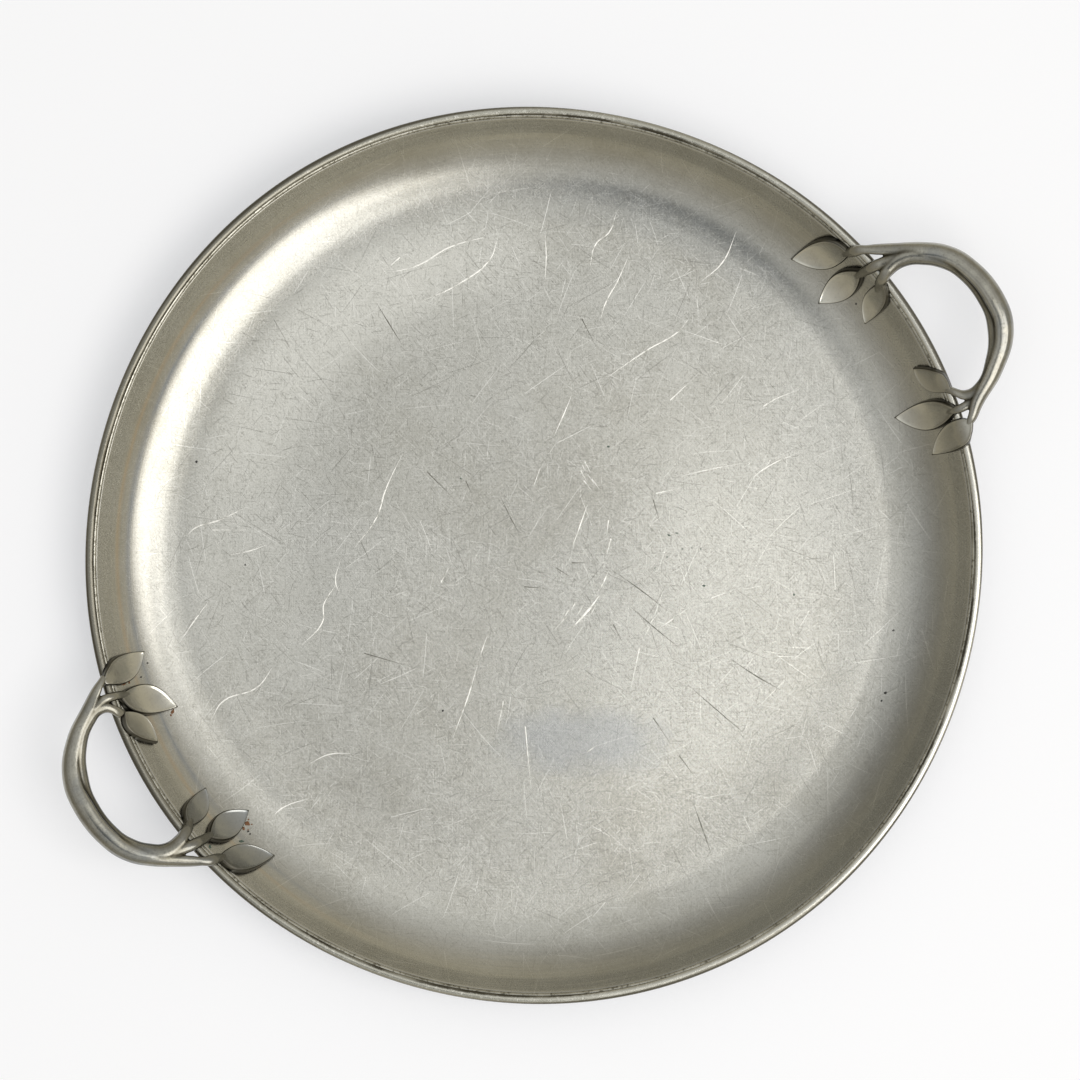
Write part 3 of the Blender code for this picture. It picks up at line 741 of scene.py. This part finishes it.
# Dark patina in the twigs' hollows; round the leaves' edges and on their sides, partly patina and partly
# painted shade.
patina_and_shade = hollow * (0.7 + mottle * 0.6)
metal = handle_finish.mix(patina_and_shade.within(0.0, 1.0), metal, (0.040, 0.036, 0.025, 1))
handle_finish.set("Base Color", metal)
handle_finish.set("Roughness", 0.14 + mottle * 0.08 + pits * 0.05 + hollow * 0.2)

outer_section, inner_section, stem_section = map(twig_section, (TWIG_LEAN, -TWIG_LEAN, 0.0))
for side, reach, turn in (("right", RIGHT_REACH, 1), ("left", LEFT_REACH, -1)):
    casting = bmesh.new()
    add_twig(casting, OUTER_LOOP + OUTER_ENDS[side], outer_section, reach)
    add_twig(casting, INNER_LOOP + INNER_ENDS[side], inner_section, reach)
    add_twig(casting, UPPER_STEM, stem_section, reach)
    add_twig(casting, LOWER_STEM[side], stem_section, reach)
    casting = remeshed(casting)
    mark_hollows(casting)
    for vert in casting.verts:
        vert.co = worn(vert.co)
        vert.co.xy = vert.co.xy * turn
    for leaf in LEAVES[side]:
        add_leaf(casting, leaf, turn)
    tray_piece("handle_%s_casting" % side, casting, handle_metal, ["handle_" + side])
for section in (outer_section, inner_section, stem_section):
    bpy.data.objects.remove(section)

# Solder under the leaves: a pad of tin solder run between each leaf and the wall, which holds the
# casting to the dish. It lies hidden but for its edge, dull and dark.
SOLDER_THICKNESS = 0.00055
PAD_LIFT = 0.00005
# Rows, in shares of the leaf: place along and across it, half length and half width.
SOLDER_SPOTS = [(0.15, 0.0, 0.65, 0.62), (0.10, 0.0, 0.65, 0.65), (0.20, -0.10, 0.58, 0.58),
                (0.30, 0.40, 0.48, 0.36), (0.15, 0.0, 0.60, 0.62), (0.45, -0.20, 0.36, 0.48)]
for side, turn in (("right", 1), ("left", -1)):
    for number, (leaf, spot) in enumerate(zip(LEAVES[side], SOLDER_SPOTS), 1):
        pad = ringed_disc(40, [0.1, 0.3, 0.3], [0.3, 0.3])
        for vert in pad.verts:
            place = leaf_place(leaf, spot[0] + vert.co.x * spot[2], spot[1] + vert.co.y * spot[3])
            lift = PAD_LIFT + (SOLDER_THICKNESS if vert.co.z > 0 else 0.0)
            vert.co = worn(lay(*place, lift))
            vert.co.xy = vert.co.xy * turn
        tray_piece("solder_pad_%s_%d" % (side, number), pad, solder_metal,
                   ["solder_%s_%d" % (side, number)])

# Marks of use: the deepest scratches, cut bright or filled dark, and small black pits and spots of
# rust and green tarnish. Each lies on the sheet where the photograph shows it.
MILLIMETRE = 0.001
MARK_LIFT = 0.00002
SCRATCH_FLATNESS = 0.12
SCRATCH_END = 0.12
SHEET_TONE = (0.42, 0.415, 0.385, 1)
SPOT_EDGE = 0.00003
SPOT_RISE = 0.00006
SPOT_SINK = 0.00002
SPOT_RAGGEDNESS = 0.6
SPOT_DETAIL = 1.3
SPOT_SHADE = 0.6
# Rows, in millimetres: a scratch has its half width and its bends, a spot its place, half length
# and half width.
BRIGHT_SCRATCHES = [(0.48, [(13.5, -25.0), (7.0, -27.6), (-3.4, -30.9)]),
                    (0.29, [(21.0, -18.7), (17.4, -21.3), (13.4, -23.7)]),
                    (0.28, [(27.5, -8.9), (23.1, -13.6)]),
                    (0.26, [(26.6, 6.4), (20.0, 0.9), (14.1, -4.2)]), (0.22, [(30.3, -2.5), (26.7, -7.2)]),
                    (0.24, [(-1.3, -25.7), (-7.5, -27.7)]),
                    (0.22, [(-29.7, -17.0), (-33.9, -20.5), (-37.3, -23.6)]),
                    (0.24, [(-38.4, -24.7), (-46.7, -32.5), (-59.9, -43.6)]),
                    (0.18, [(-36.7, -40.9), (-44.5, -49.9)]), (0.2, [(17.9, 26.7), (11.4, 21.1)]),
                    (0.22, [(-34.5, -53.2), (-44.3, -74.6)]), (0.18, [(-19.6, -72.8), (-14.6, -72.3)]),
                    (0.24, [(84.6, -15.6), (89.7, -14.8), (103.1, -15.8)]),
                    (0.22, [(50.5, -2.7), (58.7, -5.4)]),
                    (0.17, [(60.9, -1.6), (73.5, -5.4), (85.1, -9.6)]),
                    (0.2, [(47.1, -46.1), (57.8, -48.0)]),
                    (0.2, [(23.6, -46.5), (31.0, -46.1), (39.4, -45.4)]),
                    (0.2, [(16.5, -49.2), (7.0, -59.8)]),
                    (0.24, [(-107.1, 70.5), (-103.6, 71.4), (-94.5, 69.5), (-83.2, 68.5)]),
                    (0.17, [(-98.2, 67.5), (-84.9, 59.8)]),
                    (0.22, [(-97.4, 56.4), (-90.3, 54.0), (-83.8, 52.8)]),
                    (0.2, [(-129.4, 37.6), (-120.6, 41.9), (-112.7, 45.3)]),
                    (0.22, [(-133.6, 7.0), (-126.8, 10.7), (-112.9, 9.0), (-104.2, 12.5)]),
                    (0.24, [(-56.1, 35.5), (-43.0, 41.5), (-35.6, 48.3), (-23.6, 56.6)]),
                    (0.2, [(-62.8, 34.3), (-68.6, 27.9), (-69.0, 23.5)]),
                    (0.22, [(-90.9, 14.1), (-79.9, 17.9), (-76.4, 23.1), (-69.1, 27.0)]),
                    (0.18, [(-34.9, 8.5), (-27.8, 12.8)]),
                    (0.22, [(-110.2, -25.1), (-102.2, -25.9), (-94.1, -30.2)]),
                    (0.24, [(-131.7, -35.2), (-127.3, -34.3), (-116.6, -36.2)]),
                    (0.22, [(89.7, 94.5), (84.0, 89.7), (77.2, 88.2), (70.8, 81.6)]),
                    (0.22, [(86.1, 78.7), (77.4, 72.4), (69.5, 67.6), (65.0, 63.4)]),
                    (0.26, [(46.6, 107.9), (40.9, 103.1), (26.0, 100.8), (9.5, 102.2)]),
                    (0.24, [(47.5, 109.5), (29.9, 114.2), (16.5, 114.3), (3.7, 117.9)]),
                    (0.2, [(12.2, 120.2), (3.1, 118.2)]),
                    (0.22, [(63.3, 101.6), (59.1, 93.5), (54.2, 85.8)]),
                    (0.24, [(124.6, 66.3), (114.5, 59.0), (103.8, 56.7)]),
                    (0.22, [(53.8, 43.2), (73.7, 44.8), (87.4, 45.0), (93.3, 47.1)]),
                    (0.2, [(72.2, 24.5), (86.3, 27.8)]),
                    (0.22, [(28.2, 34.3), (35.6, 39.7), (41.7, 44.3)]),
                    (0.2, [(99.2, 4.7), (101.8, 5.4), (115.5, 4.2)]), (0.22, [(32.1, 21.0), (32.0, 17.3)]),
                    (0.22, [(33.5, 20.6), (33.4, 16.0)]), (0.24, [(32.1, 15.9), (32.5, 11.5)]),
                    (0.22, [(29.7, 14.8), (30.4, 10.1)]), (0.22, [(32.6, 13.9), (33.1, 9.0)]),
                    (0.2, [(30.6, 18.5), (30.5, 13.9)]), (0.18, [(4.1, -23.0), (1.4, -24.8)]),
                    (0.18, [(6.3, -25.1), (2.4, -27.4)]), (0.17, [(1.1, -23.8), (-3.3, -26.3)]),
                    (0.18, [(10.4, -27.4), (6.3, -30.1)])]
DARK_SCRATCHES = [(0.18, [(0.1, 25.1), (-0.5, 17.4), (-0.8, 9.5)]), (0.17, [(-8.1, 36.6), (-8.6, 30.5)]),
                  (0.17, [(4.7, -8.0), (7.9, -14.1)]), (0.17, [(-9.0, -8.2), (-1.7, -13.2)]),
                  (0.17, [(10.7, -9.4), (16.1, -12.5)]),
                  (0.17, [(22.1, -18.9), (27.6, -30.6), (32.5, -42.7)]),
                  (0.17, [(20.9, -32.7), (25.1, -45.2), (29.7, -57.2)]),
                  (0.17, [(12.6, -36.8), (12.2, -44.1)]),
                  (0.22, [(43.7, -69.5), (48.8, -79.7), (53.9, -88.5)]),
                  (0.17, [(25.3, -69.9), (29.9, -83.2), (34.7, -96.9)]),
                  (0.22, [(5.2, -108.3), (3.3, -119.0), (1.4, -128.9)]),
                  (0.17, [(8.1, -74.0), (8.9, -85.8)]), (0.17, [(9.4, -90.8), (10.7, -101.7)]),
                  (0.17, [(48.4, -4.1), (46.3, -13.0)]), (0.17, [(-72.4, 0.0), (-59.7, -13.2)]),
                  (0.17, [(-18.8, 46.6), (-15.1, 32.6)]),
                  (0.18, [(-3.8, 109.9), (-3.6, 100.9), (-3.3, 91.8)]),
                  (0.17, [(59.0, 66.9), (58.4, 55.8)])]
GREEN_SPOTS = [(43.9, 21.0, 0.51, 0.33), (-9.3, 38.1, 0.40, 0.29), (46.9, -18.5, 0.66, 0.26),
               (49.8, -19.3, 0.59, 0.26), (48.7, -41.1, 0.51, 0.37), (75.9, -60.6, 0.48, 0.33),
               (36.4, -26.4, 0.29, 0.22),
               (42.3, -25.1, 0.29, 0.22), (48.5, -25.3, 0.33, 0.22), (51.9, -26.8, 0.33, 0.22),
               (54.5, -28.8, 0.37, 0.22), (-146.0, -37.3, 0.81, 0.44), (-156.3, -33.1, 0.73, 0.44)]
BLACK_SPOTS = [(-90.7, 92.3, 0.48, 0.42), (-94.2, 50.3, 0.37, 0.33), (-57.9, -32.9, 0.40, 0.36),
               (-142.2, -35.4, 0.40, 0.33), (-142.0, -36.6, 0.33, 0.30), (87.0, -108.9, 0.59, 0.45),
               (84.3, -110.7, 0.37, 0.33), (101.1, -90.4, 0.44, 0.37), (148.9, 20.9, 0.37, 0.33),
               (-147.6, 33.5, 0.37, 0.33), (-143.2, 36.8, 0.33, 0.29)]
RUST_SPOTS = [(-153.9, 34.4, 0.81, 0.51), (-144.3, 16.7, 0.88, 0.55), (-141.1, -32.7, 1.10, 0.73),
              (-143.1, -33.7, 0.59, 0.44), (-142.6, -31.4, 0.36, 0.30), (-139.8, -33.9, 0.30, 0.26),
              (-140.0, -31.7, 0.33, 0.26), (-141.9, -34.9, 0.28, 0.24), (-152.1, 33.9, 0.40, 0.30),
              (-145.4, 15.9, 0.38, 0.30), (-143.2, 17.8, 0.30, 0.26)]


def on_sheet(place, lift):
    """Point of the dish's inner face under a place in plan, lifted off it."""
    return worn(Vector((place.x, place.y, inner_face(place.xy.length)[0] + lift)))


def scratches(name, paths, colour, roughness, worn_away):
    """One piece of all scratches of a kind: each a flat line that is thin at both ends or, where it
    runs straight, at one. Where a scratch is worn away, its colour is the sheet's."""
    metal, finish = new_finish(name)
    kept = finish.noise(420.0, 3.0).within(worn_away - 0.09, worn_away + 0.09)
    finish.set("Base Color", finish.mix(kept, SHEET_TONE, [*colour, 1]))
    finish.set("Roughness", roughness)
    bm = bmesh.new()
    for half_width, bends in paths:
        last = len(bends) - 1
        ends = (0, last) if last > 1 else (last,)
        path = [(Vector((*bend, 0)) * MILLIMETRE, SCRATCH_END if number in ends else 1.0)
                for number, bend in enumerate(bends)]
        sweep(bm, path, lambda point: on_sheet(point, MARK_LIFT + point.z * SCRATCH_FLATNESS),
              bevel_depth=half_width * MILLIMETRE, bevel_resolution=0)
    bmesh.ops.holes_fill(bm, edges=bm.edges, sides=8)
    piece = tray_piece(name.replace(" ", "_"), bm, metal, ["dish"])
    piece.data.shade_flat()


def spots(name, places, colour):
    """One piece of all spots of a kind: each a ragged blot, thickest in its middle."""
    crust, finish = new_finish(name, 0.0)
    shade = [SPOT_SHADE * part for part in colour]
    finish.set("Base Color", finish.mix(finish.noise(1200.0), [*shade, 1], [*colour, 1]))
    finish.set("Roughness", 0.6)
    bm = bmesh.new()
    for x, y, length, width in places:
        blot = ringed_disc(20, [0.4, 0.4], [0.5])
        turn = Matrix.Rotation(noise.noise(Vector((x, y, 0))) * 6, 2)
        for vert in blot.verts:
            around = Vector((vert.co.x + x, vert.co.y + y, 0)) * SPOT_DETAIL
            ragged = 1 + SPOT_RAGGEDNESS * noise.noise(around)
            way = turn @ Vector((vert.co.x * length, vert.co.y * width))
            middle = 1 - min(1.0, vert.co.xy.length)
            lift = MARK_LIFT + (SPOT_EDGE + SPOT_RISE * middle if vert.co.z > 0 else -SPOT_SINK)
            vert.co = on_sheet((Vector((x, y)) + way * ragged).to_3d() * MILLIMETRE, lift)
        shape = bpy.data.meshes.new(name)
        blot.to_mesh(shape)
        blot.free()
        bm.from_mesh(shape)
        bpy.data.meshes.remove(shape)
    tray_piece(name.replace(" ", "_"), bm, crust, ["dish"])


scratches("bright scratches", BRIGHT_SCRATCHES, (0.88, 0.87, 0.84), 0.42, 0.42)
scratches("dark scratches", DARK_SCRATCHES, (0.13, 0.125, 0.105), 0.40, 0.36)
spots("green tarnish spots", GREEN_SPOTS, (0.11, 0.16, 0.13))
spots("black pits", BLACK_SPOTS, (0.02, 0.02, 0.018))
spots("rust spots", RUST_SPOTS, (0.24, 0.10, 0.035))

# Table: a wide plain pale floor under the tray. Light added to what is seen of it, straight or in
# the metal, keeps it pale while the tray's shadow still shows.
FLOOR_GLOW = (0.385, 0.395, 0.418, 1)
TABLE_RADIUS = 8.0
TABLE_DROP = 0.0002
floor_paint, floor_finish = new_finish("pale floor", 0.0)
floor_finish.set("Base Color", (0.62, 0.62, 0.64, 1))
floor_finish.set("Roughness", 0.7)
seen_rays = floor_finish.node("ShaderNodeLightPath", {}, {},
                              ("Is Camera Ray", "Is Glossy Ray", "Is Transmission Ray"))
floor_finish.set("Emission Color", floor_finish.mix(sum(seen_rays), (0, 0, 0, 1), FLOOR_GLOW))
floor_finish.set("Emission Strength", 1.0)
table = bmesh.new()
bmesh.ops.create_circle(table, cap_ends=True, segments=96, radius=TABLE_RADIUS)
bmesh.ops.translate(table, verts=table.verts, vec=(0, 0, -TABLE_DROP))
floor_mesh = bpy.data.meshes.new("floor")
table.to_mesh(floor_mesh)
table.free()
floor_mesh.materials.append(floor_paint)
floor = in_scene("floor", floor_mesh)

# Studio: a soft grey sky, dimmer and warmer towards the horizon and on the side away from the
# softbox, whose long reflection makes the bright arc in the dish.
SOFTBOX_SIDE = -60.0
SOFTBOX_REACH = 2.2
SKY_STRENGTH = 1.2
SKY_STOPS = [(0.0, (0.54, 0.50, 0.385, 1)), (1.0, (0.82, 0.825, 0.80, 1)), (0.35, (0.47, 0.44, 0.36, 1)),
             (0.75, (0.55, 0.54, 0.505, 1))]
DARK_SIDE = 150.0
DARK_SHARE = 0.40
DIM_SPOT = (220.0, 14.0)
DIM_SPOT_SPREAD = (10.0, 6.0)
world = bpy.data.worlds.new("studio")
world.use_nodes = True
bpy.context.scene.world = world
sky = Finish(world.node_tree, "Generated")
_, _, height = sky.split(sky.place)


def direction(azimuth, tilt):
    """Unit vector at an azimuth and an angle from straight above, both in degrees."""
    azimuth, tilt = math.radians(azimuth), math.radians(tilt)
    return Vector((math.sin(tilt) * math.cos(azimuth), math.sin(tilt) * math.sin(azimuth), math.cos(tilt)))


darkened = sky.vector("DOT_PRODUCT", sky.place, direction(DARK_SIDE, 90.0)).within(0.0, 1.0)
glow = sky.node("ShaderNodeValToRGB", {"stops": SKY_STOPS}, {0: height})
dim = sky.vector("DOT_PRODUCT", sky.place, direction(*DIM_SPOT)).within(
    math.cos(math.radians(DIM_SPOT_SPREAD[0])), math.cos(math.radians(DIM_SPOT_SPREAD[1])))
glow = sky.mix(dim, glow, (0.06, 0.08, 0.105, 1))
background = world.node_tree.nodes["Background"]
sky.feed(background.inputs["Color"], glow)
sky.feed(background.inputs["Strength"], SKY_STRENGTH - darkened * DARK_SHARE)


def lamp(name, azimuth, tilt, distance, width, depth, power, colour):
    """A soft lamp aimed at the tray: tilt is its angle from straight above."""
    light = bpy.data.lights.new(name, "AREA")
    light.shape = "RECTANGLE"
    light.size = width
    light.size_y = depth
    light.energy = power
    light.color = colour
    item = in_scene(name, light)
    way = direction(azimuth, tilt)
    item.location = way * distance
    item.rotation_mode = "QUATERNION"
    item.rotation_quaternion = way.to_track_quat("Z", "Y")


SOFTBOX_COLOUR = (1.0, 0.97, 0.92)
lamp("softbox_near", SOFTBOX_SIDE, 14.5, SOFTBOX_REACH, width=0.74, depth=0.50, power=2.6,
     colour=SOFTBOX_COLOUR)
lamp("softbox_far", SOFTBOX_SIDE, 34.5, SOFTBOX_REACH, width=1.78, depth=1.06, power=14.2,
     colour=SOFTBOX_COLOUR)

# Camera: straight above the tray, as the photograph was taken, with the handles' line turned by 30
# degrees and the dish a little off the picture's middle.
CAMERA_DISTANCE = 2.5
SENSOR_WIDTH = 36.0
PHOTO_RIM = 449.6
PHOTO_CENTRE = (534.0, 555.4)
PHOTO_SIZE = 1080
HANDLE_LINE = math.radians(30)
lens = bpy.data.cameras.new("camera")
lens.sensor_width = SENSOR_WIDTH
lens.lens = SENSOR_WIDTH / PHOTO_SIZE * PHOTO_RIM * CAMERA_DISTANCE / RIM_RADIUS
camera = in_scene("camera", lens)
pixel = RIM_RADIUS / PHOTO_RIM
right = (PHOTO_SIZE / 2 - PHOTO_CENTRE[0]) * pixel
up = (PHOTO_CENTRE[1] - PHOTO_SIZE / 2) * pixel
camera.location = (right * math.cos(HANDLE_LINE) + up * math.sin(HANDLE_LINE),
                   up * math.cos(HANDLE_LINE) - right * math.sin(HANDLE_LINE), WIRE_HEIGHT + CAMERA_DISTANCE)
camera.rotation_euler = (0, 0, -HANDLE_LINE)
bpy.context.scene.camera = camera
bpy.context.scene.view_settings.view_transform = "Standard"
